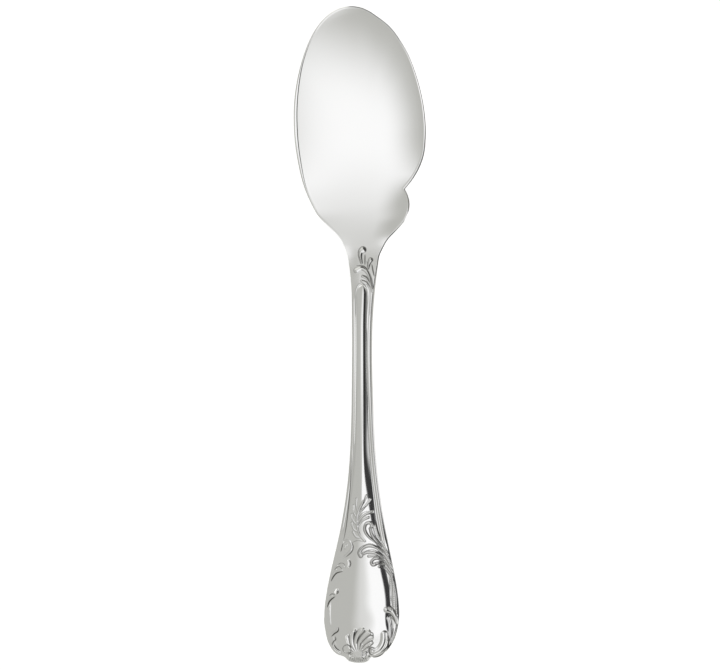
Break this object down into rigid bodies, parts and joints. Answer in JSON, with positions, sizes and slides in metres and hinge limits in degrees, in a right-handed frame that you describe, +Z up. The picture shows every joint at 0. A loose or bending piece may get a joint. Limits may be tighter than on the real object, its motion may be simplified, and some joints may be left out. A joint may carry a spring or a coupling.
{
  "type": "sauce spoon",
  "caption": "Table spoon with a shallow lopsided bowl notched on one side, a slim arched stem framed by a thread, and a broad end struck with shell and leaf relief.",
  "frame": {"origin": "on the table under the middle of the spoon's bounding box, with the spoon lying on its back", "axes": "+Y from the handle's end to the bowl's tip, +Z up out of the bowl, +X to the notched side"},
  "size_m": [0.0378, 0.188, 0.0122],
  "materials": {
    "silver_plate": "polished silver plate"
  },
  "bodies": {
    "root": {"bowl": "silver_plate", "handle": "silver_plate", "thread_border": "silver_plate", "neck_leaves": "silver_plate", "acanthus_spray": "silver_plate", "right_leaf_scrolls": "silver_plate", "left_leaf_scrolls": "silver_plate", "right_strands": "silver_plate", "right_volute": "silver_plate", "left_volute": "silver_plate", "shell": "silver_plate", "back_thread_border": "silver_plate", "back_shell": "silver_plate"}
  },
  "joints": []
}
